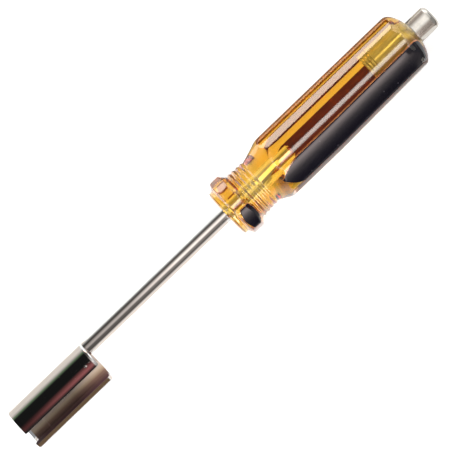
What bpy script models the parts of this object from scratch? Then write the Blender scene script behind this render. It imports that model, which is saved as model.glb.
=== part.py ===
"""Hand tool that turns and pulls round coaxial plugs in crowded panels.

A slotted socket is brazed to the end of a steel shaft, flush with one side of it, so that the
cable leaves beside the shaft. The shaft is driven into a faceted acetate handle with black inlays,
and a steel post is pressed into the handle's rear end.

Metres, +Z up. The tool lies on one flat of its grip, at the origin, and its mouth points to +X.
Every piece is modelled along a local Z axis that runs from the mouth to the rear end.
"""
import math

import bmesh
import bpy
from mathutils import Matrix

MM = 0.001

# Socket: a tube with an open bore and a slot for the cable along its whole length
SOCKET_LENGTH = 42.5 * MM
SOCKET_DIAMETER = 20.3 * MM
SOCKET_BORE = 15.0 * MM
SLOT_WIDTH = 7.5 * MM
SLOT_ANGLE = math.radians(38.8)
MOUTH_LEAD_LENGTH = 1.6 * MM
MOUTH_LEAD_DEPTH = 0.9 * MM
MOUTH_EDGE = 0.4 * MM
TOP_BEVEL_LENGTH = 1.4 * MM
TOP_BEVEL_DEPTH = 0.9 * MM

# Shaft: a rod with a half-round tongue in the socket and a plain tang in the handle
SHAFT_DIAMETER = 6.35 * MM
SHAFT_REACH = 82.2 * MM
TONGUE_LENGTH = 12.0 * MM
TANG_LENGTH = 39.0 * MM
TANG_TIP = 0.8 * MM
SOCKET_SIDE = math.radians(90.0)

# Handle bar: eight flats with rounded corners
FLAT_COUNT = 8
FLAT_DISTANCE = 13.85 * MM
CORNER_ROUNDING = 5.6 * MM
CORNER_SEGMENTS = 5
TURNING_MARGIN = 0.1 * MM

# Handle, front to rear
NOSE_LENGTH = 1.1 * MM
NOSE_RADIUS = 8.0 * MM
RING_LENGTH = 1.1 * MM
RING_RADIUS = 11.45 * MM
COLLAR_RISE = 1.8 * MM
COLLAR_LENGTH = 4.4 * MM
COLLAR_FALL = 2.8 * MM
NECK_LENGTH = 8.9 * MM
NECK_FRONT_RADIUS = 11.85 * MM
NECK_REAR_RADIUS = 11.35 * MM
NECK_RING_COUNT = 4
NECK_GROOVE = 0.45 * MM
NECK_CREST_SHARE = 0.3
COVE_LENGTH = 12.9 * MM
COVE_EASE = 1.4
COVE_POINTS = 7
GRIP_LENGTH = 71.0 * MM
DOME_HEIGHT = 7.3 * MM
DOME_POINTS = 8
SEAT_LIP = 0.25 * MM

# Black inlays on two flats of the grip and of the collar, by the side that they face
STRIP_ANGLES = {
    "near": math.radians(45.0),
    "under": math.radians(180.0),
}
STRIP_WIDTH = 12.2 * MM
STRIP_DEPTH = 0.8 * MM
STRIP_BLANK_DEPTH = 5.0 * MM
STRIP_SETBACK = 8.1 * MM
STRIP_NOSE = 7.0 * MM
STRIP_NOSE_POINTS = 8
STRIP_END_GAP = 1.7 * MM

# End post: a plain rod whose grooved front end is pressed into the handle
POST_DIAMETER = 11.1 * MM
POST_REACH = 11.25 * MM
POST_ROUNDING = 2.1 * MM
POST_ROUND_POINTS = 4
SHANK_LENGTH = 25.0 * MM
SHANK_GROOVE_COUNT = 3
SHANK_GROOVE_PITCH = 1.4 * MM
SHANK_GROOVE_DEPTH = 0.35 * MM

# Gap left between pieces that seat on each other, and overrun of a cutter past what it cuts
CLEARANCE = 0.3 * MM
OVERRUN = 4.0 * MM

# Facets around turned pieces
TURNED_STEPS = 48
ROD_STEPS = 32
MERGE_DISTANCE = 0.00001

# Finishes
CHROME = {"color": (0.72, 0.71, 0.70), "roughness": 0.08, "metallic": 1.0}
SATIN_NICKEL = {"color": (0.60, 0.57, 0.53), "roughness": 0.30, "metallic": 1.0}
AMBER_ACETATE = {"color": (0.90, 0.55, 0.06), "roughness": 0.08, "transmission": 0.9}
BLACK_ACETATE = {"color": (0.012, 0.011, 0.014), "roughness": 0.15}

# Places along the tool, with zero at the middle of the grip's flats
GRIP_START = -GRIP_LENGTH / 2
GRIP_END = GRIP_LENGTH / 2
NECK_END = GRIP_START - COVE_LENGTH
NECK_START = NECK_END - NECK_LENGTH
COLLAR_END = NECK_START - COLLAR_FALL
COLLAR_START = COLLAR_END - COLLAR_LENGTH
RING_END = COLLAR_START - COLLAR_RISE
RING_START = RING_END - RING_LENGTH
HANDLE_FRONT = RING_START - NOSE_LENGTH
SOCKET_TOP = HANDLE_FRONT - SHAFT_REACH
SOCKET_MOUTH = SOCKET_TOP - SOCKET_LENGTH
TANG_END = HANDLE_FRONT + TANG_LENGTH
DOME_END = GRIP_END + DOME_HEIGHT

# Sizes that follow from the ones above
HALF_FACET = math.pi / FLAT_COUNT
CORNER_RADIUS = (FLAT_DISTANCE - CORNER_ROUNDING) / math.cos(HALF_FACET) + CORNER_ROUNDING
TURNING_RADIUS = CORNER_RADIUS + TURNING_MARGIN
SOCKET_OFFSET = (SOCKET_DIAMETER - SHAFT_DIAMETER) / 2
SEAT_RADIUS = POST_DIAMETER / 2 + CLEARANCE + SEAT_LIP
SEAT_HEIGHT = DOME_HEIGHT * math.sqrt(1 - (SEAT_RADIUS / TURNING_RADIUS) ** 2)
SEAT = GRIP_END + SEAT_HEIGHT
POST_END = SEAT + POST_REACH
SHANK_END = SEAT - SHANK_LENGTH


def clear_scene():
    """Empty the scene that the script starts in."""
    for thing in list(bpy.data.objects):
        bpy.data.objects.remove(thing, do_unlink=True)


def new_collection(name):
    """A collection linked to the scene."""
    collection = bpy.data.collections.new(name)
    bpy.context.scene.collection.children.link(collection)
    return collection


def new_material(name, color, roughness, metallic=0.0, transmission=0.0):
    """A Principled material with the piece's own colour and finish."""
    material = bpy.data.materials.new(name)
    material.use_nodes = True
    shader = material.node_tree.nodes["Principled BSDF"]
    shader.inputs["Base Color"].default_value = (*color, 1.0)
    shader.inputs["Roughness"].default_value = roughness
    shader.inputs["Metallic"].default_value = metallic
    shader.inputs["Transmission Weight"].default_value = transmission
    return material


class Workshop:
    """Makes the pieces and the cutters on the tool's axis."""

    def __init__(self):
        self.pieces = new_collection("connector_removal_tool")
        self.cutters = new_collection("cutters")
        self.axis = bpy.data.objects.new("tool_axis", None)
        self.axis.location = (0.0, 0.0, FLAT_DISTANCE)
        self.axis.rotation_euler = (0.0, -math.pi / 2, 0.0)
        self.pieces.objects.link(self.axis)

    def add(self, name, mesh, finish=None):
        """Put a mesh on the axis: a piece if it has a finish, or else a cutter."""
        thing = bpy.data.objects.new(name, mesh)
        thing.parent = self.axis
        if finish:
            mesh.materials.append(new_material(name + "_finish", **finish))
            self.pieces.objects.link(thing)
        else:
            thing.hide_render = True
            thing.display_type = "WIRE"
            self.cutters.objects.link(thing)
        return thing

    def turned(self, name, profile, steps, finish=None, closed=False):
        """Turn (radius, height) points round Z. They run down the outer side."""
        mesh = bpy.data.meshes.new(name)
        edges = [(i, i + 1) for i in range(len(profile) - 1)]
        if closed:
            edges.append((len(profile) - 1, 0))
        mesh.from_pydata([(radius, 0.0, height) for radius, height in profile], edges, [])
        thing = self.add(name, mesh, finish)
        screw = thing.modifiers.new("turn", "SCREW")
        screw.axis = "Z"
        screw.steps = steps
        screw.render_steps = steps
        screw.use_merge_vertices = True
        screw.merge_threshold = MERGE_DISTANCE
        screw.use_smooth_shade = True
        return thing

    def rod(self, name, radius, bottom, top, steps, finish=None):
        """A plain cylinder between two heights."""
        profile = [(0.0, top), (radius, top), (radius, bottom), (0.0, bottom)]
        return self.turned(name, profile, steps, finish)

    def block(self, name, low, high, finish=None):
        """A box between two corners."""
        shape = bmesh.new()
        bmesh.ops.create_cube(shape, size=1.0)
        for vert in shape.verts:
            for i in range(3):
                vert.co[i] = low[i] if vert.co[i] < 0 else high[i]
        mesh = bpy.data.meshes.new(name)
        shape.to_mesh(mesh)
        shape.free()
        return self.add(name, mesh, finish)

    def bar(self, name, flat_distance, corner_rounding, bottom, top, finish=None):
        """The faceted bar: a prism with a flat at every step of the facet angle."""
        shape = bmesh.new()
        corner = flat_distance / math.cos(HALF_FACET)
        bmesh.ops.create_cone(shape, cap_ends=True, segments=FLAT_COUNT,
                              radius1=corner, radius2=corner, depth=top - bottom)
        bmesh.ops.rotate(shape, verts=shape.verts, cent=(0, 0, 0),
                         matrix=rotation_about_z(HALF_FACET))
        bmesh.ops.translate(shape, verts=shape.verts, vec=(0, 0, (top + bottom) / 2))
        long_edges = [edge for edge in shape.edges if is_upright(edge)]
        bmesh.ops.bevel(shape, geom=long_edges, offset=corner_rounding * math.tan(HALF_FACET),
                        offset_type="OFFSET", segments=CORNER_SEGMENTS, profile=0.5, affect="EDGES")
        mesh = bpy.data.meshes.new(name)
        shape.to_mesh(mesh)
        shape.free()
        return self.add(name, mesh, finish)

    def inlay(self, name, width, depth, bottom, nose, top, angle, finish=None):
        """A slab over one flat, with a rounded nose at its lower end."""
        half = width / 2
        outline = [(half, top), (-half, top)]
        for i in range(STRIP_NOSE_POINTS + 1):
            turn = math.pi * i / STRIP_NOSE_POINTS
            outline.append((-half * math.cos(turn), bottom + nose * (1 - math.sin(turn))))
        shape = bmesh.new()
        inner = FLAT_DISTANCE - depth
        outer = TURNING_RADIUS + OVERRUN
        corners = [shape.verts.new((inner, across, height)) for across, height in outline]
        face = shape.faces.new(corners)
        swept = bmesh.ops.extrude_face_region(shape, geom=[face])
        moved = [item for item in swept["geom"] if isinstance(item, bmesh.types.BMVert)]
        bmesh.ops.translate(shape, verts=moved, vec=(outer - inner, 0, 0))
        bmesh.ops.recalc_face_normals(shape, faces=shape.faces)
        mesh = bpy.data.meshes.new(name)
        shape.to_mesh(mesh)
        shape.free()
        thing = self.add(name, mesh, finish)
        thing.rotation_euler = (0.0, 0.0, angle)
        return thing


def rotation_about_z(angle):
    """The turn about the tool's axis as a matrix."""
    return Matrix.Rotation(angle, 3, "Z")


def is_upright(edge):
    """Whether an edge of the bar runs along the tool."""
    first, second = (vert.co for vert in edge.verts)
    return abs(first.z - second.z) > (first - second).length / 2


def combine(target, cutter, operation):
    """Cut, clip or join a piece with another shape."""
    step = target.modifiers.new(operation.lower() + "_" + cutter.name, "BOOLEAN")
    step.operation = operation
    step.solver = "EXACT"
    step.object = cutter


def neck_profile():
    """Grooves and ridges of the neck, rear to front."""
    points = []
    pitch = NECK_LENGTH / NECK_RING_COUNT
    taper = (NECK_REAR_RADIUS - NECK_FRONT_RADIUS) / NECK_LENGTH
    for i in range(NECK_RING_COUNT):
        ring_end = NECK_END - i * pitch
        crest = NECK_REAR_RADIUS - i * pitch * taper
        points.append((crest - NECK_GROOVE, ring_end))
        points.append((crest, ring_end - pitch * (1 - NECK_CREST_SHARE) / 2))
        points.append((crest, ring_end - pitch * (1 + NECK_CREST_SHARE) / 2))
    points.append((NECK_FRONT_RADIUS - NECK_GROOVE, NECK_START))
    return points


def cove_profile():
    """Hollow rise from the neck to the grip, rear to front, without its last point."""
    points = []
    start = NECK_REAR_RADIUS - NECK_GROOVE
    for i in range(COVE_POINTS, 0, -1):
        share = i / COVE_POINTS
        rise = math.sin(share * math.pi / 2) ** COVE_EASE
        points.append((start + (TURNING_RADIUS - start) * rise, NECK_END + COVE_LENGTH * share))
    return points


def dome_profile(radius, height):
    """Quarter ellipse of the rear end, from the seat's flat down to the grip."""
    points = []
    first = math.asin(min(SEAT_RADIUS / radius, 1.0))
    for i in range(DOME_POINTS + 1):
        turn = first + (math.pi / 2 - first) * i / DOME_POINTS
        points.append((radius * math.sin(turn), GRIP_END + height * math.cos(turn)))
    return points


def handle_profile():
    """Outline of the turned handle, rear to front."""
    dome = dome_profile(TURNING_RADIUS, DOME_HEIGHT)
    front = [
        (TURNING_RADIUS, COLLAR_END),
        (TURNING_RADIUS, COLLAR_START),
        (RING_RADIUS, RING_END),
        (RING_RADIUS, RING_START),
        (NOSE_RADIUS, HANDLE_FRONT),
        (0.0, HANDLE_FRONT),
    ]
    return [(0.0, dome[0][1])] + dome + cove_profile() + neck_profile() + front


def core_profile(depth):
    """Outline left of the handle under inlays of this depth."""
    dome = dome_profile(TURNING_RADIUS - depth, DOME_HEIGHT - depth)
    front = HANDLE_FRONT - OVERRUN
    return [(0.0, dome[0][1])] + dome + [(TURNING_RADIUS - depth, front), (0.0, front)]


def make_core(shop, name, depth):
    """Cutter in the shape of the handle under its inlays."""
    rounding = max(CORNER_ROUNDING - depth, MERGE_DISTANCE)
    core = shop.bar(name, FLAT_DISTANCE - depth, rounding,
                    HANDLE_FRONT - 2 * OVERRUN, DOME_END + OVERRUN)
    combine(core, shop.turned(name + "_turned", core_profile(depth), TURNED_STEPS), "INTERSECT")
    return core


def strip_spans():
    """Lower end, nose and upper end of the inlays, by the part of the handle that they lie on."""
    grip_start = NECK_END + STRIP_SETBACK
    return {
        "grip": (grip_start, STRIP_NOSE, SEAT - STRIP_END_GAP),
        "collar": (HANDLE_FRONT, NOSE_LENGTH, NECK_START),
    }


def make_strips(shop):
    """Inlays on their flats, each clipped to the handle's outside."""
    core = make_core(shop, "strip_core", STRIP_DEPTH)
    outside = make_outside(shop, "strip_outside")
    for place, (bottom, nose, top) in strip_spans().items():
        for side, angle in STRIP_ANGLES.items():
            strip = shop.inlay(f"{place}_strip_{side}", STRIP_WIDTH, STRIP_BLANK_DEPTH,
                               bottom, nose, top, angle, BLACK_ACETATE)
            combine(strip, outside, "INTERSECT")
            combine(strip, core, "DIFFERENCE")


def make_outside(shop, name, finish=None):
    """Outer shape of the handle: the bar, turned to its profile."""
    outside = shop.bar(name, FLAT_DISTANCE, CORNER_ROUNDING,
                       HANDLE_FRONT - OVERRUN, DOME_END + OVERRUN, finish)
    turned = shop.turned(name + "_turned", handle_profile(), TURNED_STEPS)
    combine(outside, turned, "INTERSECT")
    return outside


def make_handle(shop):
    """Acetate body with its two bores and the recesses of the inlays."""
    handle = make_outside(shop, "handle_body", AMBER_ACETATE)
    core = make_core(shop, "recess_core", STRIP_DEPTH + CLEARANCE)
    for place, (bottom, nose, top) in strip_spans().items():
        for side, angle in STRIP_ANGLES.items():
            recess = shop.inlay(f"{place}_recess_{side}", STRIP_WIDTH + 2 * CLEARANCE,
                                STRIP_BLANK_DEPTH + CLEARANCE, bottom - CLEARANCE, nose,
                                top + CLEARANCE, angle)
            combine(recess, core, "DIFFERENCE")
            combine(handle, recess, "DIFFERENCE")
    tang_radius = SHAFT_DIAMETER / 2 + CLEARANCE
    bore = shop.rod("tang_bore", tang_radius, HANDLE_FRONT - OVERRUN, TANG_END + CLEARANCE, ROD_STEPS)
    combine(handle, bore, "DIFFERENCE")
    shank_radius = POST_DIAMETER / 2 + CLEARANCE
    bore = shop.rod("shank_bore", shank_radius, SHANK_END - CLEARANCE, SEAT + OVERRUN, ROD_STEPS)
    combine(handle, bore, "DIFFERENCE")


def make_shaft(shop):
    """Rod with a stepped tongue at the socket and a chamfered tang."""
    radius = SHAFT_DIAMETER / 2
    profile = [
        (0.0, TANG_END),
        (radius - TANG_TIP, TANG_END),
        (radius, TANG_END - TANG_TIP),
        (radius, SOCKET_TOP - TONGUE_LENGTH),
        (0.0, SOCKET_TOP - TONGUE_LENGTH),
    ]
    shaft = shop.turned("shaft", profile, ROD_STEPS, CHROME)
    inner = SOCKET_BORE / 2 - CLEARANCE
    outer = SOCKET_DIAMETER / 2 + OVERRUN
    top = SOCKET_TOP + CLEARANCE
    bottom = SOCKET_TOP - TONGUE_LENGTH - OVERRUN
    step = shop.turned("tongue_step", [(outer, top), (outer, bottom), (inner, bottom), (inner, top)],
                       TURNED_STEPS, closed=True)
    to_socket_axis(step)
    combine(shaft, step, "DIFFERENCE")


def to_socket_axis(thing):
    """Move a shape from the shaft's axis to the socket's."""
    thing.location = (SOCKET_OFFSET * math.cos(SOCKET_SIDE), SOCKET_OFFSET * math.sin(SOCKET_SIDE), 0.0)


def make_socket(shop):
    """Tube with a lead-in at its mouth, a bevelled top edge and the cable slot."""
    outer = SOCKET_DIAMETER / 2
    inner = SOCKET_BORE / 2
    profile = [
        (outer - TOP_BEVEL_DEPTH, SOCKET_TOP),
        (outer, SOCKET_TOP - TOP_BEVEL_LENGTH),
        (outer, SOCKET_MOUTH + MOUTH_EDGE),
        (outer - MOUTH_EDGE, SOCKET_MOUTH),
        (inner + MOUTH_LEAD_DEPTH, SOCKET_MOUTH),
        (inner, SOCKET_MOUTH + MOUTH_LEAD_LENGTH),
        (inner, SOCKET_TOP),
    ]
    socket = shop.turned("socket", profile, TURNED_STEPS, CHROME, closed=True)
    to_socket_axis(socket)
    half = SLOT_WIDTH / 2
    slot = shop.block("cable_slot", (0.0, -half, SOCKET_MOUTH - OVERRUN),
                      (outer + OVERRUN, half, SOCKET_TOP + OVERRUN))
    to_socket_axis(slot)
    slot.rotation_euler = (0.0, 0.0, SLOT_ANGLE)
    combine(socket, slot, "DIFFERENCE")


def shank_profile():
    """Gripping grooves of the shank, from its plain part to its end."""
    points = []
    crest = POST_DIAMETER / 2
    for i in range(SHANK_GROOVE_COUNT, 0, -1):
        groove = SHANK_END + i * SHANK_GROOVE_PITCH
        points.append((crest, groove + SHANK_GROOVE_DEPTH))
        points.append((crest - SHANK_GROOVE_DEPTH, groove))
        points.append((crest, groove - SHANK_GROOVE_DEPTH))
    points.append((crest, SHANK_END + SHANK_GROOVE_DEPTH))
    points.append((crest - SHANK_GROOVE_DEPTH, SHANK_END))
    points.append((0.0, SHANK_END))
    return points


def make_post(shop):
    """Post with a rounded end and its shank."""
    radius = POST_DIAMETER / 2
    profile = [(0.0, POST_END)]
    for i in range(POST_ROUND_POINTS + 1):
        turn = math.pi / 2 * i / POST_ROUND_POINTS
        profile.append((radius - POST_ROUNDING * (1 - math.sin(turn)),
                        POST_END - POST_ROUNDING * (1 - math.cos(turn))))
    shop.turned("end_post", profile + shank_profile(), TURNED_STEPS, SATIN_NICKEL)


def main():
    clear_scene()
    shop = Workshop()
    make_socket(shop)
    make_shaft(shop)
    make_handle(shop)
    make_strips(shop)
    make_post(shop)


main()
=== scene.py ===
"""Looks of the connector removal tool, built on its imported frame.

Metres, +Z up. Every piece is made along the tool's axis: z runs from the socket's mouth to the rear
end with zero at the middle of the grip, and theta turns from straight up towards +Y.
"""
import math

import bmesh
import bpy
from mathutils import Matrix, Vector


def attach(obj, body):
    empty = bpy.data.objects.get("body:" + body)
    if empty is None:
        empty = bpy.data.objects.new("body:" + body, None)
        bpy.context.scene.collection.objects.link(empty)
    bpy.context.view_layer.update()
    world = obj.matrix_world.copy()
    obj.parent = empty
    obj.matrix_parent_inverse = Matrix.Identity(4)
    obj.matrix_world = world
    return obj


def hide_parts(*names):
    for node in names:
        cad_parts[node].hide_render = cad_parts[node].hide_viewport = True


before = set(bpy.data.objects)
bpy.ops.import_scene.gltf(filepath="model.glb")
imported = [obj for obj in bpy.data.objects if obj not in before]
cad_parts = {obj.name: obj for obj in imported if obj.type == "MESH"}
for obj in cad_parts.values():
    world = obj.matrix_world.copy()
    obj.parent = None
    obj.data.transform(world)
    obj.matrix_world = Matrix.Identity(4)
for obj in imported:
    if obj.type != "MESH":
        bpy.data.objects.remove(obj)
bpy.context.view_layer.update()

MM = 0.001
FULL_TURN = 2 * math.pi
AXIS_HEIGHT = 13.85 * MM

# Handle, as heights along the axis and radii
HANDLE_FRONT = -68.5 * MM
RING_START = -67.4 * MM
RING_END = -66.3 * MM
COLLAR_START = -64.5 * MM
COLLAR_END = -60.1 * MM
NECK_START = -57.3 * MM
NECK_END = -48.4 * MM
GRIP_START = -35.5 * MM
GRIP_END = 35.5 * MM
DOME_HEIGHT = 7.3 * MM
SEAT = 42.36 * MM
FRONT_FACE_RADII = (4.0 * MM, 6.0 * MM, 7.6 * MM)
NOSE_RADIUS = 8.0 * MM
RING_RADIUS = 11.45 * MM
NECK_FRONT_RADIUS = 11.85 * MM
NECK_REAR_RADIUS = 11.35 * MM
NECK_GROOVE = 0.5 * MM
NECK_RINGS = 4
COVE_POWER = 1.12
TURNING_RADIUS = 14.57 * MM
FLATS = 8
FLAT_DISTANCE = 13.78 * MM
CROWN_RADIUS = 90.0 * MM
CORNER_BLEND = 0.11 * MM
EDGE_BLEND = 0.07 * MM
HANDLE_STEPS = 256
HANDLE_SHARP = 50

# The rear of the grip is a little narrower, and it leans to one side
REAR_START = -13.0 * MM
REAR_REACH = 48.0 * MM
REAR_NARROWING = 0.036
REAR_SHIFT = -0.5 * MM

# Length of the cove in millimetres, by degrees round the handle
COVE_LENGTHS = [
    (0, 11.3), (45, 9.2), (75, 7.4), (112, 6.35), (150, 7.5), (200, 9.5), (250, 10.8), (292, 11.2),
    (325, 12.3), (360, 11.3),
]

# Inlays of the grip: middle, lean of the nose and half width in degrees, and the rest in millimetres
INLAYS = {
    "near": {
        "middle": 44.0, "lean": -7.0, "half": 23.6, "start": -41.2, "noses": (12.0, 7.0), "depth": 1.0,
    },
    "under": {
        "middle": 178.0, "lean": 8.0, "half": 22.2, "start": -38.4, "noses": (14.0, 7.0), "depth": 2.3,
    },
}
GRIP_INLAY_END = 40.6 * MM
GRIP_INLAY_TAIL = 3.0 * MM
COLLAR_INLAY_START = -64.6 * MM
COLLAR_INLAY_END = -57.9 * MM
COLLAR_INLAY_NOSE = 1.6 * MM
COLLAR_INLAY_TAIL = 1.2 * MM
COLLAR_INLAY_DEPTH = 0.8 * MM
INLAY_LIFT = 0.03 * MM
INLAY_LAP = 0.02 * MM
INLAY_END_TURN = 0.02
NOSE_CURVE = 1.5
NOSE_POINT = 0.8
SLIVER = 0.0001

# Shaft and its tongue
SHAFT_RADIUS = 3.175 * MM
TANG_END = -29.6 * MM
TANG_CHAMFER = 0.9 * MM
TONGUE_GAP = 0.02 * MM
TONGUE_SHOULDER = 11.4 * MM
TONGUE_LENGTH = 12 * MM
TONGUE_TIP_SHARE = 0.8
ROD_SHARP = 35

# Socket and its weld pip, whose profile has radii and heights in millimetres
SOCKET_TOP = -150.7 * MM
SOCKET_MOUTH = -193.2 * MM
SOCKET_OFFSET = 6.975 * MM
SOCKET_RADIUS = 10.15 * MM
BORE_RADIUS = 7.5 * MM
STEP_RADIUS = 7.85 * MM
SLOT_HALF = 3.75 * MM
SLOT_ANGLE = math.radians(38.8)
SOCKET_STEPS = 132
LIP_BEVEL = 0.12 * MM
PIP_ANGLE = math.radians(-1.5)
PIP_DROP = 4.6 * MM
PIP_STEPS = 20
PIP_PROFILE = ((0.62, -0.1), (0.6, 0.03), (0.5, 0.1), (0.3, 0.16))
PIP_TOP = 0.18

# Post and its shank
POST_END = 53.0 * MM
POST_RADIUS = 5.55 * MM
POST_ROUNDING = 2.2 * MM
SHANK_END = 17.14 * MM
SHANK_GROOVES = 3
GROOVE_PITCH = 1.4 * MM
GROOVE_DEPTH = 0.35 * MM

# The amber's clear coat is full over the grip and ends at the dome, at these places along X
COAT_FULL = -36.0 * MM
COAT_END = -38.0 * MM

# The painted shade in the socket darkens across the tool, in a direction tilted by this angle
PAINTED_SHADE_LEAN = math.radians(8.5)

# Camera
CAMERA_LEAN = math.radians(8.5)
CAMERA_ROLL = math.radians(43.85)
CAMERA_DISTANCE = 1.5
FRAME_WIDTH = 190.5 * MM
AIM_X = 71.8 * MM
AIM_SIDE = 2.84 * MM

# Levels of the floor and the world, by the kind of ray that sees them
FLOOR_SEEN = 0.72
FLOOR_MIRRORED = 0.44
FLOOR_THROUGH = 0.83
WORLD_LEVEL = 0.45
WORLD_THROUGH = 1.4


def place(radius, theta, z, offset=0.0):
    """A point round the tool's axis, or round one set off from it towards +Y."""
    return Vector((-z, offset + radius * math.sin(theta), AXIS_HEIGHT + radius * math.cos(theta)))


def rear_share(z):
    """Place along the narrower rear of the grip: zero in front of it, one near its end."""
    return max((z - REAR_START) / REAR_REACH, 0.0)


def place_leaning(radius, theta, z):
    """A point round the handle's own axis."""
    return place(radius, theta, z, REAR_SHIFT * rear_share(z))


def lerp_table(table, at):
    """Value of a table of (place, value) rows, with straight lines between its rows."""
    if at <= table[0][0]:
        return table[0][1]
    for (low, first), (high, second) in zip(table, table[1:]):
        if at <= high:
            share = (at - low) / (high - low) if high > low else 1.0
            if isinstance(first, tuple):
                return tuple(a + (b - a) * share for a, b in zip(first, second))
            return first + (second - first) * share
    return table[-1][1]


def soft_min(values, blend):
    """Smallest value, rounded off where two are close."""
    low = min(values)
    return low - blend * math.log(sum(math.exp((low - value) / blend) for value in values))


def spread(low, high, count):
    """Evenly spaced values, both ends included."""
    return [low + (high - low) * i / (count - 1) for i in range(count)]


def ring(steps):
    """Angles of the points round a circle."""
    return [FULL_TURN * i / steps for i in range(steps)]


def grey(value):
    """Colour with three equal parts."""
    return (value, value, value)


# Outline of the handle

def bar_radius(theta):
    """Outline of the eight-sided bar: crowned flats with softened corners."""
    drop = CROWN_RADIUS - FLAT_DISTANCE
    radii = []
    for i in range(FLATS):
        turn = (theta - i * math.pi / 4 + math.pi) % FULL_TURN - math.pi
        if abs(turn) < math.pi / 3:
            side = drop * math.sin(turn)
            radii.append(math.sqrt(CROWN_RADIUS ** 2 - side ** 2) - drop * math.cos(turn))
    return soft_min(radii, CORNER_BLEND)


def neck_radius(z):
    """Rounded ridges of the neck."""
    share = (z - NECK_START) / (NECK_END - NECK_START)
    crest = NECK_FRONT_RADIUS + (NECK_REAR_RADIUS - NECK_FRONT_RADIUS) * share
    wave = 0.5 - 0.5 * math.cos(FULL_TURN * share * NECK_RINGS)
    return crest - NECK_GROOVE * (1 - wave)


def turned_radius(z, theta):
    """Turned outline of the handle. Its cove is ground to a different length on each side."""
    if z < RING_START:
        share = max((z - HANDLE_FRONT) / (RING_START - HANDLE_FRONT), 0.0)
        return NOSE_RADIUS + (RING_RADIUS - NOSE_RADIUS) * math.sqrt(1 - (1 - share) ** 2)
    if z < RING_END:
        return RING_RADIUS
    if z < COLLAR_START:
        share = (z - RING_END) / (COLLAR_START - RING_END)
        return RING_RADIUS + (TURNING_RADIUS - RING_RADIUS) * share
    if z < COLLAR_END:
        return TURNING_RADIUS
    if z < NECK_START:
        share = (z - COLLAR_END) / (NECK_START - COLLAR_END)
        return TURNING_RADIUS + (NECK_FRONT_RADIUS - NECK_GROOVE - TURNING_RADIUS) * share
    if z < NECK_END:
        return neck_radius(z)
    if z < GRIP_START:
        length = lerp_table(COVE_LENGTHS, math.degrees(theta) % 360) * MM
        share = min((z - NECK_END) / length, 1.0)
        start = NECK_REAR_RADIUS - NECK_GROOVE
        return start + (TURNING_RADIUS - start) * share ** COVE_POWER
    if z < GRIP_END:
        return TURNING_RADIUS
    share = min((z - GRIP_END) / DOME_HEIGHT, 1.0)
    return TURNING_RADIUS * math.sqrt(1 - share ** 2)


def handle_radius(z, theta):
    """Outside of the handle."""
    narrowing = 1 - REAR_NARROWING * min(rear_share(z), 1.0)
    return soft_min([turned_radius(z, theta), bar_radius(theta)], EDGE_BLEND) * narrowing


# Pieces

def mesh_object(name, shape, materials, sharp=None):
    """A smooth shaded object from a bmesh, which is freed. Edges over the angle in degrees stay sharp."""
    bmesh.ops.recalc_face_normals(shape, faces=shape.faces)
    mesh = bpy.data.meshes.new(name)
    shape.to_mesh(mesh)
    shape.free()
    for material in materials:
        mesh.materials.append(material)
    mesh.shade_smooth()
    if sharp is not None:
        mesh.set_sharp_from_angle(angle=math.radians(sharp))
    thing = bpy.data.objects.new(name, mesh)
    bpy.context.scene.collection.objects.link(thing)
    return thing


def bridge(shape, first, second, closed=True, slot=0):
    """Quads between two rows of vertices."""
    count = len(first)
    for i in range(count if closed else count - 1):
        j = (i + 1) % count
        face = shape.faces.new((first[i], first[j], second[j], second[i]))
        face.material_index = slot


def bridge_all(shape, rows, closed=True, slot=0):
    """Quads between each row of vertices and the next."""
    for first, second in zip(rows, rows[1:]):
        bridge(shape, first, second, closed, slot)


def cap(shape, row, centre):
    """Fan from a closed row of vertices to a point."""
    middle = shape.verts.new(centre)
    for i in range(len(row)):
        shape.faces.new((row[i], row[(i + 1) % len(row)], middle))


def lathe(name, profile, steps, materials, sharp, spot):
    """A solid turned from (radius, z) points round the axis that the spot function knows."""
    shape = bmesh.new()
    rows = []
    for radius, z in profile:
        rows.append([shape.verts.new(spot(radius, turn, z)) for turn in ring(steps)])
    bridge_all(shape, rows)
    cap(shape, rows[0], spot(0, 0, profile[0][1]))
    cap(shape, rows[-1], spot(0, 0, profile[-1][1]))
    return mesh_object(name, shape, materials, sharp)


def make_handle(material):
    """Clear body of the handle, solid round the tang and the shank."""
    heights = spread(HANDLE_FRONT, RING_START, 9)
    heights += spread(RING_START, RING_END, 4)[1:]
    heights += spread(RING_END, COLLAR_START, 14)[1:]
    heights += spread(COLLAR_START, COLLAR_END, 6)[1:]
    heights += spread(COLLAR_END, NECK_START, 14)[1:]
    heights += spread(NECK_START, NECK_END, 49)[1:]
    heights += spread(NECK_END, GRIP_START, 33)[1:]
    heights += [GRIP_START + 0.3 * MM] + spread(GRIP_START + 2 * MM, GRIP_END - 2 * MM, 15)
    heights += [GRIP_END - 0.3 * MM, GRIP_END]
    heights += [GRIP_END + DOME_HEIGHT * math.sin(turn) for turn in spread(0, math.pi / 2, 22)[1:]]
    heights = [z for z in heights if z < SEAT] + [SEAT]
    turns = ring(HANDLE_STEPS)
    shape = bmesh.new()
    rows = []
    for radius in FRONT_FACE_RADII:
        rows.append([shape.verts.new(place(radius, turn, HANDLE_FRONT)) for turn in turns])
    for z in heights:
        rows.append([shape.verts.new(place_leaning(handle_radius(z, turn), turn, z)) for turn in turns])
    bridge_all(shape, rows)
    cap(shape, rows[0], place(0, 0, HANDLE_FRONT))
    cap(shape, rows[-1], place_leaning(0, 0, SEAT))
    return mesh_object("handle_shell", shape, [material], HANDLE_SHARP)


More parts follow.
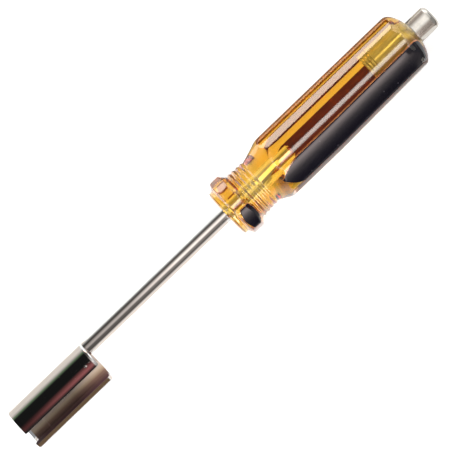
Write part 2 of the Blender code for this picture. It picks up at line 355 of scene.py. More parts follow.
def make_strip(name, tip, low, high, noses, tail, halves, depth, materials):
    """Black inlay bonded into a facet, with a pointed nose and a rounded tail.

    The noses are the lengths of the taper towards the lower and the higher angle from the tip, and the
    halves are how far the inlay reaches to each side of it. The materials are for face, back and edge.
    """
    nose = max(noses)
    heights = [low + nose * (1 - math.cos(turn)) for turn in spread(INLAY_END_TURN, math.pi / 2, 30)]
    heights += spread(low + nose, high - tail, 30)[1:]
    ends = spread(0, math.pi / 2 - INLAY_END_TURN, 14)[1:]
    heights += [high - tail + tail * math.sin(turn) for turn in ends]
    across = spread(-1, 1, 41)
    lifts = [INLAY_LIFT + INLAY_LIFT * (1 - side ** 24) for side in across]
    outward = place(1, tip + (halves[1] - halves[0]) / 2, 0) - place(0, 0, 0)
    inset = outward * (INLAY_LAP - depth)
    shape = bmesh.new()
    outer = []
    inner = []
    for z in heights:
        widths = []
        for taper, width in zip(noses, halves):
            if z < low + taper:
                width *= max(1 - ((low + taper - z) / taper) ** NOSE_CURVE, SLIVER) ** NOSE_POINT
            if z > high - tail:
                width *= math.sqrt(max(1 - ((z - high + tail) / tail) ** 2, SLIVER))
            widths.append(width)
        turns = [tip + widths[side > 0] * side for side in across]
        radii = [handle_radius(z, turn) for turn in turns]
        raised = zip(radii, lifts, turns)
        outer.append([shape.verts.new(place_leaning(r + up, t, z)) for r, up, t in raised])
        inner.append([shape.verts.new(place_leaning(r, t, z) + inset) for r, t in zip(radii, turns)])
    bridge_all(shape, outer, closed=False, slot=0)
    bridge_all(shape, inner, closed=False, slot=1)
    for i in (0, -1):
        bridge(shape, outer[i], inner[i], closed=False, slot=2)
        bridge(shape, [row[i] for row in outer], [row[i] for row in inner], closed=False, slot=2)
    return mesh_object(name, shape, materials, HANDLE_SHARP)


def make_shaft(material):
    """Rod with a plain tang inside the handle."""
    shoulder = TANG_END - TANG_CHAMFER
    heights = [SOCKET_TOP + 0.02 * MM, SOCKET_TOP + 0.3 * MM]
    heights += spread(SOCKET_TOP + 4 * MM, HANDLE_FRONT, 12)
    heights += spread(HANDLE_FRONT + 2 * MM, shoulder, 60)
    heights += [TANG_END - 0.4 * MM, TANG_END]
    profile = [(SHAFT_RADIUS - max(z - shoulder, 0.0), z) for z in heights]
    return lathe("shaft_rod", profile, 72, [material], ROD_SHARP, place)


def make_tongue(material):
    """Half-round end of the shaft, brazed to the wall of the socket's bore."""
    wall = BORE_RADIUS - TONGUE_GAP
    outline = []
    for turn in ring(33):
        side = SHAFT_RADIUS * math.sin(turn)
        up = SHAFT_RADIUS * math.cos(turn)
        pull = min(wall / math.hypot(side - SOCKET_OFFSET, up), 1.0)
        outline.append((SOCKET_OFFSET + (side - SOCKET_OFFSET) * pull, up * pull))
    middle = (SOCKET_OFFSET - wall + SHAFT_RADIUS) / 2
    shape = bmesh.new()
    rows = []
    for z, share in (
        (SOCKET_TOP + 0.2 * MM, 1.0),
        (SOCKET_TOP - TONGUE_SHOULDER, 1.0),
        (SOCKET_TOP - TONGUE_LENGTH, TONGUE_TIP_SHARE),
    ):
        points = [(-z, middle + (side - middle) * share, AXIS_HEIGHT + up * share) for side, up in outline]
        rows.append([shape.verts.new(point) for point in points])
    bridge_all(shape, rows)
    shape.faces.new(rows[0])
    shape.faces.new(rows[-1])
    return mesh_object("shaft_tongue", shape, [material], ROD_SHARP)


def make_socket(outside, inside):
    """Slotted tube: its wall's section, swept round from one lip of the slot to the other."""
    section = [
        (SOCKET_RADIUS - 0.45 * MM, SOCKET_MOUTH, 0),
        (SOCKET_RADIUS - 0.12 * MM, SOCKET_MOUTH + 0.12 * MM, 0),
        (SOCKET_RADIUS, SOCKET_MOUTH + 0.5 * MM, 0),
        (SOCKET_RADIUS, SOCKET_MOUTH + 0.9 * MM, 0),
        (SOCKET_RADIUS, SOCKET_MOUTH + 1.5 * MM, 0),
    ]
    section += [(SOCKET_RADIUS, z, 0) for z in spread(SOCKET_MOUTH + 4 * MM, SOCKET_TOP - 4 * MM, 8)]
    section += [
        (SOCKET_RADIUS, SOCKET_TOP - 2.0 * MM, 0),
        (SOCKET_RADIUS, SOCKET_TOP - 1.3 * MM, 0),
        (SOCKET_RADIUS, SOCKET_TOP - 0.95 * MM, 0),
        (SOCKET_RADIUS - 0.07 * MM, SOCKET_TOP - 0.7 * MM, 0),
        (SOCKET_RADIUS - 0.5 * MM, SOCKET_TOP - 0.1 * MM, 0),
        (SOCKET_RADIUS - 0.62 * MM, SOCKET_TOP, 0),
        (BORE_RADIUS + 0.15 * MM, SOCKET_TOP, 1),
        (BORE_RADIUS, SOCKET_TOP - 0.2 * MM, 1),
    ]
    section += [(BORE_RADIUS, z, 1) for z in spread(SOCKET_TOP - 4 * MM, SOCKET_MOUTH + 9.2 * MM, 8)]
    section += [
        (STEP_RADIUS, SOCKET_MOUTH + 8.5 * MM, 1),
        (STEP_RADIUS, SOCKET_MOUTH + 4 * MM, 1),
        (STEP_RADIUS, SOCKET_MOUTH + 1.3 * MM, 0),
        (BORE_RADIUS + 1.0 * MM, SOCKET_MOUTH, 0),
    ]
    shape = bmesh.new()
    rows = []
    for i in range(SOCKET_STEPS + 1):
        row = []
        for radius, z, _ in section:
            gap = math.asin(SLOT_HALF / radius)
            turn = SLOT_ANGLE + gap + (FULL_TURN - 2 * gap) * i / SOCKET_STEPS
            row.append(shape.verts.new(place(radius, turn, z, SOCKET_OFFSET)))
        rows.append(row)
    for first, second in zip(rows, rows[1:]):
        for i in range(len(section)):
            j = (i + 1) % len(section)
            face = shape.faces.new((first[i], first[j], second[j], second[i]))
            face.material_index = section[i][2]
    for row in (rows[0], rows[-1]):
        shape.faces.new(row).material_index = 1
    thing = mesh_object("socket_tube", shape, [outside, inside], 22)
    bevel = thing.modifiers.new("lip_edges", "BEVEL")
    bevel.width = LIP_BEVEL
    bevel.segments = 2
    bevel.limit_method = "ANGLE"
    bevel.angle_limit = math.radians(60)
    return thing


def make_pip(material):
    """Small weld pip on the socket, below its top edge."""
    up = place(1, PIP_ANGLE, 0) - place(0, PIP_ANGLE, 0)
    base = place(SOCKET_RADIUS, PIP_ANGLE, SOCKET_TOP - PIP_DROP, SOCKET_OFFSET)
    ahead = Vector((1, 0, 0))
    side = up.cross(ahead)
    shape = bmesh.new()
    rows = []
    for radius, height in PIP_PROFILE:
        row = []
        for turn in ring(PIP_STEPS):
            spot = base + up * height * MM
            spot += (ahead * math.cos(turn) + side * math.sin(turn)) * radius * MM
            row.append(shape.verts.new(spot))
        rows.append(row)
    bridge_all(shape, rows)
    cap(shape, rows[-1], base + up * PIP_TOP * MM)
    cap(shape, rows[0], base + up * PIP_PROFILE[0][1] * MM)
    return mesh_object("socket_pip", shape, [material])


def make_post(plated, bonded):
    """Plain rod with a rounded end, and a grooved shank inside the handle."""
    profile = [(3.0 * MM, POST_END), (3.3 * MM, POST_END - 0.02 * MM)]
    for turn in spread(0.1, math.pi / 2, 9):
        radius = POST_RADIUS - POST_ROUNDING * (1 - math.sin(turn))
        profile.append((radius, POST_END - POST_ROUNDING * (1 - math.cos(turn))))
    profile += [(POST_RADIUS, z) for z in spread(POST_END - 3.5 * MM, SHANK_END + 6 * MM, 20)]
    bottom = POST_RADIUS - GROOVE_DEPTH
    for i in range(SHANK_GROOVES, 0, -1):
        groove = SHANK_END + GROOVE_PITCH * i
        profile += [
            (POST_RADIUS, groove + GROOVE_DEPTH),
            (bottom, groove),
            (POST_RADIUS, groove - GROOVE_DEPTH),
        ]
    profile += [(POST_RADIUS, SHANK_END + GROOVE_DEPTH), (bottom, SHANK_END)]
    thing = lathe("post_turned", profile, 96, [plated, bonded], 40, place_leaning)
    for face in thing.data.polygons:
        face.material_index = int(-face.center.x < SEAT)
    return thing


# Materials

class Paint:
    """Small helper to wire a procedural material."""

    def __init__(self, name):
        self.material = bpy.data.materials.new(name)
        self.material.use_nodes = True
        self.tree = self.material.node_tree
        self.shader = self.tree.nodes["Principled BSDF"]
        self.out = self.tree.nodes["Material Output"]
        self.coords = self.node("ShaderNodeTexCoord")

    def node(self, kind, **values):
        """A node with its properties set."""
        made = self.tree.nodes.new(kind)
        for key, value in values.items():
            setattr(made, key, value)
        return made

    def link(self, source, target):
        """Link between two sockets."""
        self.tree.links.new(source, target)

    def feed(self, source, socket):
        """Link to one of the shader's sockets."""
        self.link(source, self.shader.inputs[socket])

    def set(self, **values):
        """Fixed values on the shader's own sockets."""
        for key, value in values.items():
            self.shader.inputs[key.replace("_", " ")].default_value = value

    def stretched(self, scale):
        """Object coordinates with a scale for each axis."""
        mapping = self.node("ShaderNodeMapping")
        mapping.inputs["Scale"].default_value = scale
        self.link(self.coords.outputs["Object"], mapping.inputs["Vector"])
        return mapping.outputs["Vector"]

    def along(self):
        """Place along X."""
        made = self.node("ShaderNodeSeparateXYZ")
        self.link(self.coords.outputs["Object"], made.inputs["Vector"])
        return made.outputs["X"]

    def noise(self, vector, scale, detail=3.0, roughness=0.55):
        """Cloudy factor."""
        made = self.node("ShaderNodeTexNoise")
        made.inputs["Scale"].default_value = scale
        made.inputs["Detail"].default_value = detail
        made.inputs["Roughness"].default_value = roughness
        self.link(vector, made.inputs["Vector"])
        return made.outputs["Fac"]

    def ramp(self, factor, stops):
        """Colour ramp with (place, colour) stops."""
        made = self.node("ShaderNodeValToRGB")
        points = made.color_ramp.elements
        while len(points) < len(stops):
            points.new(0.5)
        for point, (at, color) in zip(points, stops):
            point.position = at
            point.color = (*color, 1.0)
        self.link(factor, made.inputs["Fac"])
        return made.outputs["Color"]

    def clouded(self, factor, low, high):
        """Base colour that drifts between two tones."""
        self.feed(self.ramp(factor, [(0.3, low), (0.7, high)]), "Base Color")

    def span(self, factor, low, high):
        """A factor mapped to a range."""
        made = self.node("ShaderNodeMapRange")
        made.inputs["To Min"].default_value = low
        made.inputs["To Max"].default_value = high
        self.link(factor, made.inputs["Value"])
        return made.outputs["Result"]

    def reach(self, value, low, high):
        """A value as its share of the way between two places."""
        made = self.node("ShaderNodeMapRange")
        made.inputs["From Min"].default_value = low
        made.inputs["From Max"].default_value = high
        self.link(value, made.inputs["Value"])
        return made.outputs["Result"]

    def times(self, first, second):
        """Product of two colours."""
        made = self.node("ShaderNodeMix", data_type="RGBA", blend_type="MULTIPLY")
        made.inputs["Factor"].default_value = 1.0
        self.link(first, made.inputs["A"])
        self.link(second, made.inputs["B"])
        return made.outputs["Result"]

    def bump(self, factor, strength, distance=0.1 * MM):
        """Fine relief."""
        made = self.node("ShaderNodeBump")
        made.inputs["Strength"].default_value = strength
        made.inputs["Distance"].default_value = distance
        self.link(factor, made.inputs["Height"])
        self.feed(made.outputs["Normal"], "Normal")


def chrome_paint(name, low, high, rough_low, rough_high):
    """Bright plating with faint clouds, drawn lines along the tool and a few dull specks."""
    paint = Paint(name)
    paint.set(Metallic=1.0)
    paint.clouded(paint.noise(paint.stretched((60, 160, 160)), 3.0), low, high)
    lines = paint.noise(paint.stretched((40, 2400, 2400)), 1.0, 2.0)
    cells = paint.node("ShaderNodeTexVoronoi")
    cells.inputs["Scale"].default_value = 1.0
    paint.link(paint.stretched((500, 900, 900)), cells.inputs["Vector"])
    specks = paint.node("ShaderNodeMath", operation="MULTIPLY")
    paint.link(paint.reach(cells.outputs["Distance"], 0.16, 0.08), specks.inputs[0])
    paint.link(paint.reach(cells.outputs["Color"], 0.62, 0.68), specks.inputs[1])
    rough = paint.node("ShaderNodeMath", operation="MULTIPLY_ADD")
    paint.link(specks.outputs[0], rough.inputs[0])
    rough.inputs[1].default_value = 0.22
    paint.link(paint.span(lines, rough_low, rough_high), rough.inputs[2])
    paint.feed(rough.outputs[0], "Roughness")
    paint.bump(lines, 0.05)
    return paint.material


def dull_steel_paint(name):
    """Bare inside of the socket: brown-grey steel with streaks, and painted shade across the bore and away
    from its top end.
    """
    paint = Paint(name)
    paint.set(Metallic=0.25)
    across = paint.node("ShaderNodeVectorMath", operation="DOT_PRODUCT")
    across.inputs[1].default_value = (0.0, math.cos(PAINTED_SHADE_LEAN), -math.sin(PAINTED_SHADE_LEAN))
    paint.link(paint.coords.outputs["Object"], across.inputs[0])
    middle = SOCKET_OFFSET * math.cos(PAINTED_SHADE_LEAN) - AXIS_HEIGHT * math.sin(PAINTED_SHADE_LEAN)
    width = paint.reach(across.outputs["Value"], middle + 1.0 * MM, middle + 7.5 * MM)
    # Painted shade across the bore: pale steel on one side, darkening to near black on the other
    painted_shade_across = paint.ramp(width, [
        (0.0, (0.9, 0.75, 0.65)), (0.35, (0.65, 0.5, 0.35)), (0.55, (0.3, 0.18, 0.13)),
        (1.0, (0.1, 0.04, 0.05)),
    ])
    # Painted shade along the bore: full brightness near the top end, darker deeper in towards the mouth
    depth = paint.reach(paint.along(), -SOCKET_TOP, -SOCKET_MOUTH)
    shade = paint.ramp(depth, [(0.15, grey(1.0)), (0.4, grey(0.4)), (1.0, grey(0.35))])
    streaks = paint.noise(paint.stretched((25, 700, 700)), 1.0, 4.0, 0.6)
    fine = paint.ramp(streaks, [(0.25, grey(0.75)), (0.75, grey(1.0))])
    paint.feed(paint.times(paint.times(painted_shade_across, shade), fine), "Base Color")
    paint.feed(paint.span(streaks, 0.3, 0.5), "Roughness")
    paint.bump(streaks, 0.2)
    return paint.material


def nickel_paint(name, metallic, low, high, rough_low, rough_high):
    """Satin plating with fine turning lines."""
    paint = Paint(name)
    paint.set(Metallic=metallic)
    paint.clouded(paint.noise(paint.stretched((300, 300, 300)), 1.0, 4.0), low, high)
    lines = paint.noise(paint.stretched((3000, 60, 60)), 1.0, 2.0)
    paint.feed(paint.span(lines, rough_low, rough_high), "Roughness")
    paint.bump(lines, 0.05)
    return paint.material


def amber_paint(name):
    """Clear amber acetate: tinted by depth, slightly hazy, under a clear coat that ends at the dome."""
    paint = Paint(name)
    paint.set(Transmission_Weight=1.0, IOR=1.48, Coat_IOR=1.8, Coat_Roughness=0.01)
    paint.feed(paint.reach(paint.along(), COAT_END, COAT_FULL), "Coat Weight")
    clouds = paint.noise(paint.stretched((40, 120, 120)), 2.0)
    paint.clouded(clouds, (1.0, 0.95, 0.84), (1.0, 0.98, 0.92))
    haze = paint.noise(paint.stretched((500, 900, 900)), 1.0, 4.0)
    paint.feed(paint.span(haze, 0.0, 0.02), "Roughness")
    depth = paint.node("ShaderNodeVolumeAbsorption")
    depth.inputs["Color"].default_value = (0.975, 0.785, 0.0, 1.0)
    depth.inputs["Density"].default_value = 118.0
    paint.link(depth.outputs["Volume"], paint.out.inputs["Volume"])
    return paint.material


def black_paint(name):
    """Black acetate, polished, with a few pale specks of dust."""
    paint = Paint(name)
    specks = paint.node("ShaderNodeTexVoronoi")
    specks.inputs["Scale"].default_value = 160.0
    paint.link(paint.coords.outputs["Object"], specks.inputs["Vector"])
    tones = [(0.0, (0.10, 0.09, 0.10)), (0.06, (0.006, 0.005, 0.009))]
    paint.feed(paint.ramp(specks.outputs["Distance"], tones), "Base Color")
    haze = paint.noise(paint.stretched((200, 700, 700)), 1.0, 4.0)
    paint.feed(paint.span(haze, 0.06, 0.16), "Roughness")
    paint.bump(haze, 0.05)
    return paint.material


def painted_light_bond_paint(name, low, high):
    """Side of an inlay that is bonded into the amber, with a cloudy bond, in a tone of painted light that
    gives the brightness it shows through the amber.
    """
    paint = Paint(name)
    paint.set(Roughness=0.7, Specular_IOR_Level=0.1)
    paint.clouded(paint.noise(paint.stretched((120, 500, 500)), 1.0, 4.0), low, high)
    return paint.material


# Lights and flags that the tool mirrors: degrees from straight up towards +Y, and light
LEFT_BOX = (4.0, 3.2, 2.5)
TOP_BOX = (4.0, 3.9, 3.6)
RIGHT_BOX = (5.2, 4.4, 4.2)
COVE_BOX = (2.8, 2.3, 1.8)
RED_GLOW = (0.25, 0.08, 0.08)
GREEN_GLOW = (0.15, 0.22, 0.13)


def warm(level):
    """Warm white light."""
    return (level, 0.9 * level, 0.85 * level)


RIGHT_SIDE = [(42, RIGHT_BOX), (71.6, RIGHT_BOX), (76, warm(0.8)), (81, grey(0.04)), (96, grey(0.01))]
REAR_TENT = [
    (-96, grey(2.0)), (-60, grey(1.8)), (-40, grey(1.0)), (14, grey(0.7)), (24, grey(0.35)),
    (96, grey(0.3)),
]
POST_TENT = [
    (-96, warm(0.6)), (-65, warm(0.45)), (-28, grey(1.4)), (6, grey(1.4)), (35, warm(0.45)),
    (65, warm(0.3)), (96, warm(0.7)),
]
HANDLE_TENT = [
    (-96, grey(0.3)), (-94.9, grey(0.3)), (-94.4, LEFT_BOX), (-85.0, LEFT_BOX), (-84.3, grey(0.1)),
    (-6.8, grey(0.07)), (-6.0, TOP_BOX), (-4.2, TOP_BOX), (-3.4, grey(0.07)), (20, grey(0.07)),
    (28, grey(0.3)),
] + RIGHT_SIDE
COVE_TENT = [
    (-96, COVE_BOX), (-86.5, COVE_BOX), (-85.8, grey(0.1)), (-40, grey(0.1)), (-30, grey(0.26)),
    (10, grey(0.26)), (20, grey(0.1)), (28, grey(0.3)),
] + RIGHT_SIDE
NECK_TENT = [
    (-96, COVE_BOX), (-86.5, COVE_BOX), (-85.8, grey(0.1)), (-40, grey(0.1)), (-16, grey(0.26)),
    (-13, grey(1.9)), (26, grey(1.9)), (29, grey(0.5)),
] + RIGHT_SIDE
COLLAR_TENT = [
    (-96, grey(0.25)), (-94.6, grey(0.25)), (-94, LEFT_BOX), (-84.6, LEFT_BOX), (-84, grey(0.1)),
    (-6.8, grey(0.1)), (-6.0, TOP_BOX), (-4.2, TOP_BOX), (-3.4, grey(0.1)), (10, grey(0.1)),
    (20, grey(0.3)), (28, grey(0.3)),
] + RIGHT_SIDE


def shaft_tent(level):
    """Soft box of this level over the shaft, between two dark flags, and the pale floor beside them."""
    return [
        (-96, grey(0.5)), (-60, warm(0.08)), (-40, warm(0.15 * level)), (-10, warm(level)),
        (4, warm(level)), (25, warm(0.25 * level)), (68, warm(0.1)), (92, warm(0.9)), (96, warm(1.0)),
    ]


def socket_tent(red):
    """Dark flag over the socket, a green glow at its edge and a red one of this strength on top."""
    return [
        (-96, warm(0.7)), (-88, warm(0.6)), (-76, GREEN_GLOW), (-63, grey(0.01)), (-15, grey(0.01)),
        (9, tuple(red * part for part in RED_GLOW)), (22, grey(0.02)), (30, grey(0.02)), (60, warm(0.3)),
        (96, warm(0.4)),
    ]


# The lights along X, each with straight lines to the next
TENT_STRETCHES = [
    (-0.30, REAR_TENT), (-0.080, REAR_TENT), (-0.074, POST_TENT), (-0.0485, POST_TENT),
    (-0.0475, HANDLE_TENT), (0.0322, HANDLE_TENT), (0.0345, COVE_TENT), (0.046, COVE_TENT),
    (0.0468, NECK_TENT), (0.0556, NECK_TENT), (0.0562, COLLAR_TENT), (0.067, COLLAR_TENT),
    (0.0685, shaft_tent(1.4)), (0.10, shaft_tent(1.4)), (0.13, shaft_tent(0.7)),
    (0.1586, shaft_tent(0.5)), (0.1594, socket_tent(1.5)), (0.167, socket_tent(1.5)),
    (0.20, socket_tent(0.4)), (0.30, socket_tent(0.3)),
]

# What the amber shows from its other side: degrees and level, and the same tables along X
SHANK_THROUGH = [
    (-96, 0.9), (-66, 0.35), (-61, 9.4), (-47, 9.4), (-42, 0.35), (50, 0.5), (96, 0.8),
]
GRIP_THROUGH = [
    (-96, 1.6), (-80, 1.2), (-60, 0.6), (-40, 0.6), (-32, 2.4), (10, 2.4), (18, 0.4), (50, 0.4),
    (70, 1.2), (96, 1.3),
]
COVE_THROUGH = [
    (-96, 1.2), (-72, 0.9), (-62, 0.35), (-26, 0.35), (-18, 1.9), (58, 1.9), (66, 0.35), (88, 0.4),
    (96, 0.8),
]
NECK_THROUGH = [
    (-96, 1.1), (-60, 0.5), (-14, 0.5), (-6, 1.1), (30, 1.1), (38, 0.5), (70, 0.4), (96, 0.4),
]
THROUGH_STRETCHES = [
    (-0.30, SHANK_THROUGH), (-0.029, SHANK_THROUGH), (-0.025, GRIP_THROUGH), (0.0235, GRIP_THROUGH),
    (0.026, COVE_THROUGH), (0.044, COVE_THROUGH), (0.047, NECK_THROUGH), (0.30, NECK_THROUGH),
]
THROUGH_GAIN = 1.18
ARCH_RADIUS = 0.16
ARCH_TURNS = spread(-95, 95, 381)

# Cards on the floor that reflections alone see: name, places along Y, places along X, and light
CARD_HEIGHT = 0.4 * MM
FLOOR_CARDS = (
    ("pale_card_shaft", (0.004, 0.06, 0.16), (0.07, 0.1, 0.15), (1.08, 0.97, 0.89)),
    ("dark_flag_socket", (0.024, 0.06, 0.3), (0.152, 0.18, 0.25), (0.17, 0.11, 0.065)),
    ("warm_card_socket", (-0.3, -0.06, -0.004), (0.15, 0.18, 0.25), (0.85, 0.78, 0.71)),
    ("dark_flag_rear", (0.028, 0.06, 0.3), (-0.3, -0.1, -0.0575), (0.24, 0.22, 0.2)),
    ("dim_card_post", (-0.06, -0.04, -0.02), (-0.0575, -0.05, -0.047), (0.62, 0.58, 0.52)),
    ("pale_card_left", (-0.1046, -0.097, -0.0892), (-0.055, 0.0, 0.035), (1.7, 1.3, 0.85)),
    ("dark_card_left", (-0.157, -0.13, -0.105), (-0.055, 0.0, 0.04), (0.04, 0.03, 0.02)),
    ("pale_card_collar", (-0.125, -0.1, -0.075), (0.052, 0.06, 0.072), (1.35, 1.4, 1.3)),
    ("dim_card_left", (-0.0885, -0.05, -0.0145), (-0.047, 0.0, 0.05), (0.22, 0.21, 0.2)),
    ("dim_card_right", (0.0145, 0.05, 0.09), (-0.045, 0.0, 0.04), (0.38, 0.36, 0.34)),
    ("pale_card_cove", (0.018, 0.04, 0.06), (0.044, 0.055, 0.0695), (1.0, 1.03, 1.03)),
)

# Soft shade under the cove that the amber alone shows: middle and reach along X and Y, and depth
SHADE_HEIGHT = 0.03 * MM
SHADE_X = 37.5 * MM
SHADE_Y = 1.0 * MM
SHADE_REACH_X = 5.0 * MM
SHADE_REACH_Y = 4.0 * MM
SHADE_STEEPNESS = 1.6
SHADE_DEPTH = 0.75


# Stage and light

def only_in_reflections(thing):
    """Card that metal, gloss and glass show, and that lights nothing else."""
    thing.visible_camera = False
    thing.visible_diffuse = False
    thing.visible_volume_scatter = False
    thing.visible_shadow = False


def glow_material(name):
    """Emission from the card's own colours."""
    material = bpy.data.materials.new(name)
    material.use_nodes = True
    tree = material.node_tree
    tree.nodes.clear()
    color = tree.nodes.new("ShaderNodeVertexColor")
    color.layer_name = "glow"
    glow = tree.nodes.new("ShaderNodeEmission")
    out = tree.nodes.new("ShaderNodeOutputMaterial")
    tree.links.new(color.outputs["Color"], glow.inputs["Color"])
    tree.links.new(glow.outputs["Emission"], out.inputs["Surface"])
    return material


def card(name, columns, rows, spot, color):
    """Sheet over columns and rows of values, each point coloured by itself."""
    mesh = bpy.data.meshes.new(name)
    points = [spot(column, row) for row in rows for column in columns]
    width = len(columns)
    faces = []
    for i in range(len(rows) - 1):
        for j in range(width - 1):
            first = i * width + j
            faces.append((first, first + 1, first + 1 + width, first + width))
    mesh.from_pydata(points, [], faces)
    glow = mesh.color_attributes.new("glow", "FLOAT_COLOR", "POINT")
    colors = [color(column, row) for row in rows for column in columns]
    for item, value in zip(glow.data, colors):
        item.color = (*value, 1.0)
    mesh.materials.append(glow_material(name + "_glow"))
    thing = bpy.data.objects.new(name, mesh)
    bpy.context.scene.collection.objects.link(thing)
    only_in_reflections(thing)
    return thing


def arch_spot(turn, x):
    """A point on the arch over the tool."""
    angle = math.radians(turn)
    return (x, ARCH_RADIUS * math.sin(angle), AXIS_HEIGHT + ARCH_RADIUS * math.cos(angle))


def tent_color(turn, x):
    """Light that the tool mirrors from an angle and a place along it."""
    return lerp_table([(at, lerp_table(rows, turn)) for at, rows in TENT_STRETCHES], x)


def through_color(turn, x):
    """Light that the amber shows from an angle and a place along the tool."""
    level = lerp_table([(at, lerp_table(rows, turn)) for at, rows in THROUGH_STRETCHES], x)
    return grey(THROUGH_GAIN * level)


def card_spot(y, x):
    """A point on a card beside the tool."""
    return (x, y, CARD_HEIGHT)


def shade_spot(y, x):
    """A point of the shade under the cove."""
    return (x, y, SHADE_HEIGHT)


def shade_color(y, x):
    """The floor's own level, darker towards the middle of the shade."""
    side = max(1 - abs(y - SHADE_Y) / SHADE_REACH_Y, 0.0)
    along = max(1 - abs(x - SHADE_X) / SHADE_REACH_X, 0.0)
    return grey(FLOOR_THROUGH - SHADE_DEPTH * min(SHADE_STEEPNESS * side * along, 1.0))


def make_tent():
    """Arch of soft light and dark flags over the tool, and the cards on the floor beside it."""
    mirrored = card("light_arch", ARCH_TURNS, [at for at, _ in TENT_STRETCHES], arch_spot, tent_color)
    mirrored.visible_transmission = False
    through = card("clear_arch", ARCH_TURNS, [at for at, _ in THROUGH_STRETCHES], arch_spot, through_color)
    through.visible_glossy = False
    for name, sides, places, color in FLOOR_CARDS:
        flag = card(name, sides, places, card_spot, lambda y, x: color)
        flag.visible_transmission = False
    sides = spread(SHADE_Y - SHADE_REACH_Y, SHADE_Y + SHADE_REACH_Y, 9)
    places = spread(SHADE_X - SHADE_REACH_X, SHADE_X + SHADE_REACH_X, 11)
    shade = card("shade_cove", sides, places, shade_spot, shade_color)
    shade.visible_glossy = False


def make_floor():
    """Pale floor, white to the camera and dimmer to metal and glass, which keeps a soft shadow."""
    shape = bmesh.new()
    bmesh.ops.create_grid(shape, x_segments=8, y_segments=8, size=6.0)
    material = bpy.data.materials.new("floor_white")
    material.use_nodes = True
    tree = material.node_tree
    tree.nodes.clear()
    rays = tree.nodes.new("ShaderNodeLightPath")
    mirrored = tree.nodes.new("ShaderNodeMath")
    mirrored.operation = "MAXIMUM"
    levels = (("Is Glossy Ray", FLOOR_MIRRORED), ("Is Transmission Ray", FLOOR_THROUGH))
    for i, (ray, level) in enumerate(levels):
        part = tree.nodes.new("ShaderNodeMath")
        part.operation = "MULTIPLY"
        part.inputs[1].default_value = level
        tree.links.new(rays.outputs[ray], part.inputs[0])
        tree.links.new(part.outputs[0], mirrored.inputs[i])
    strength = tree.nodes.new("ShaderNodeMath")
    strength.operation = "MULTIPLY_ADD"
    strength.inputs[1].default_value = FLOOR_SEEN
    tree.links.new(rays.outputs["Is Camera Ray"], strength.inputs[0])
    tree.links.new(mirrored.outputs[0], strength.inputs[2])
    glow = tree.nodes.new("ShaderNodeEmission")
    tree.links.new(strength.outputs[0], glow.inputs["Strength"])
    matte = tree.nodes.new("ShaderNodeBsdfDiffuse")
    matte.inputs["Color"].default_value = (0.5, 0.5, 0.5, 1.0)
    both = tree.nodes.new("ShaderNodeAddShader")
    out = tree.nodes.new("ShaderNodeOutputMaterial")
    tree.links.new(glow.outputs[0], both.inputs[0])
    tree.links.new(matte.outputs[0], both.inputs[1])
    tree.links.new(both.outputs[0], out.inputs["Surface"])
    mesh_object("floor", shape, [material])


def make_lights():
    """An even world, two broad soft boxes over the tool and a small one at the socket's slot."""
    world = bpy.data.worlds.new("studio")
    bpy.context.scene.world = world
    world.use_nodes = True
    tree = world.node_tree
    background = tree.nodes["Background"]
    background.inputs["Color"].default_value = (0.80, 0.82, 0.85, 1.0)
    rays = tree.nodes.new("ShaderNodeLightPath")
    level = tree.nodes.new("ShaderNodeMapRange")
    level.inputs["To Min"].default_value = WORLD_LEVEL
    level.inputs["To Max"].default_value = WORLD_THROUGH
    tree.links.new(rays.outputs["Is Transmission Ray"], level.inputs["Value"])
    tree.links.new(level.outputs["Result"], background.inputs["Strength"])
    for name, spot, aim, size, power in (
        ("key", (-0.3, -0.7, 1.1), (0.05, 0.0, 0.0), 0.9, 11.0),
        ("fill", (0.4, 0.8, 0.9), (0.05, 0.0, 0.0), 0.9, 6.0),
        ("slot_fill", (0.172, 0.05, 0.26), (0.172, 0.01, 0.01), 0.08, 0.58),
    ):
        lamp = bpy.data.lights.new(name, "AREA")
        lamp.size = size
        lamp.energy = power
        thing = bpy.data.objects.new(name, lamp)
        thing.location = spot
        thing.rotation_euler = (Vector(aim) - Vector(spot)).to_track_quat("-Z", "Y").to_euler()
        thing.visible_glossy = False
        thing.visible_camera = False
        bpy.context.scene.collection.objects.link(thing)


def make_camera():
    """Camera square on to the tool, at the photograph's roll."""
    toward = Vector((0, math.sin(CAMERA_LEAN), math.cos(CAMERA_LEAN)))
    rear = Vector((-1, 0, 0))
    side = Vector((0, math.cos(CAMERA_LEAN), -math.sin(CAMERA_LEAN)))
    right = rear * math.cos(CAMERA_ROLL) + side * math.sin(CAMERA_ROLL)
    upward = rear * math.sin(CAMERA_ROLL) - side * math.cos(CAMERA_ROLL)
    aim = Vector((AIM_X, 0, AXIS_HEIGHT)) + side * AIM_SIDE
    data = bpy.data.cameras.new("camera")
    data.sensor_width = 36.0
    data.lens = data.sensor_width * CAMERA_DISTANCE / FRAME_WIDTH
    data.clip_start = 0.01
    data.clip_end = 50.0
    camera = bpy.data.objects.new("camera", data)
    spot = Matrix((right, upward, toward)).transposed().to_4x4()
    spot.translation = aim + toward * CAMERA_DISTANCE
    camera.matrix_world = spot
    bpy.context.scene.collection.objects.link(camera)
    bpy.context.scene.camera = camera


# Assembly

def dress(thing, slot, *nodes):
    """Ride on the tool's one body, in place of the solids that the piece stands for."""
    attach(thing, "root")
    if nodes:
        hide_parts(*nodes)


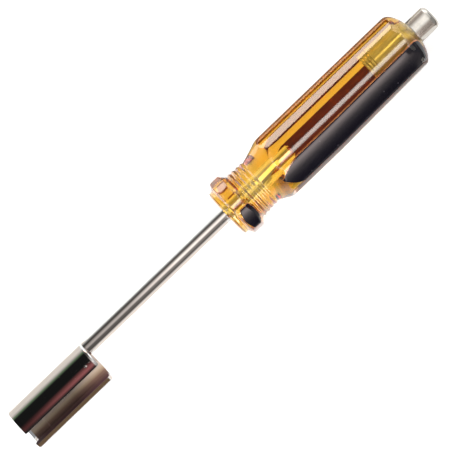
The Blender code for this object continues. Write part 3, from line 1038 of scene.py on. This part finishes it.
def dress_inlays(side, grip_paints, collar_paints):
    """Inlay of the grip and, in line with it, the one of the collar."""
    inlay = INLAYS[side]
    middle = inlay["middle"]
    lean = inlay["lean"]
    half = inlay["half"]
    depth = inlay["depth"] * MM
    tip = math.radians(middle + lean)
    noses = [length * MM for length in inlay["noses"]]
    halves = [math.radians(half + lean), math.radians(half - lean)]
    grip = make_strip(
        "grip_inlay_" + side, tip, inlay["start"] * MM, GRIP_INLAY_END, noses, GRIP_INLAY_TAIL,
        halves, depth, grip_paints,
    )
    dress(grip, "black", "grip_strip_" + side)
    collar = make_strip(
        "collar_inlay_" + side, math.radians(middle), COLLAR_INLAY_START, COLLAR_INLAY_END,
        [COLLAR_INLAY_NOSE] * 2, COLLAR_INLAY_TAIL, [math.radians(half)] * 2,
        min(depth, COLLAR_INLAY_DEPTH), collar_paints,
    )
    dress(collar, "black", "collar_strip_" + side)


def main():
    """Stage, materials, pieces and the two boxes."""
    bpy.context.scene.view_settings.view_transform = "Standard"
    make_camera()
    make_floor()
    make_lights()
    make_tent()
    bright = chrome_paint("socket_chrome", (0.74, 0.73, 0.72), (0.79, 0.78, 0.77), 0.02, 0.07)
    rod = chrome_paint("shaft_chrome", (0.75, 0.74, 0.72), (0.81, 0.80, 0.78), 0.01, 0.05)
    dull = dull_steel_paint("socket_bare_steel")
    amber = amber_paint("amber_acetate")
    face = black_paint("black_acetate")
    # Painted light on the inlays' bonded sides: a dark back, a pale back, and edges in a shaded and a lit
    # tone
    bond = painted_light_bond_paint("black_acetate_bond", (0.12, 0.047, 0.047), (0.19, 0.077, 0.07))
    painted_light_back = painted_light_bond_paint("black_acetate_pale_bond", (0.85, 0.60, 0.25), (0.95, 0.72, 0.30))
    edge = painted_light_bond_paint("black_acetate_edge", (0.44, 0.19, 0.09), (0.58, 0.26, 0.13))
    painted_lit_edge = painted_light_bond_paint("black_acetate_lit_edge", (0.44, 0.27, 0.15), (0.56, 0.36, 0.21))
    nickel = nickel_paint("satin_nickel", 1.0, (0.62, 0.58, 0.52), (0.71, 0.67, 0.61), 0.07, 0.15)
    bonded = nickel_paint("bonded_nickel", 0.45, (0.38, 0.37, 0.32), (0.48, 0.46, 0.41), 0.16, 0.3)
    dress(make_socket(bright, dull), "chrome", "socket")
    dress(make_pip(bright), "chrome")
    dress(make_shaft(rod), "chrome", "shaft")
    dress(make_tongue(rod), "chrome")
    dress(make_handle(amber), "amber", "handle_body")
    # The under inlays take the painted lit tone on their edges, and the collar's under inlay on its back
    # too
    dress_inlays("near", [face, painted_light_back, edge], [face, painted_light_back, edge])
    dress_inlays("under", [face, bond, painted_lit_edge], [face, painted_lit_edge, painted_lit_edge])
    dress(make_post(nickel, bonded), "nickel", "end_post")


main()
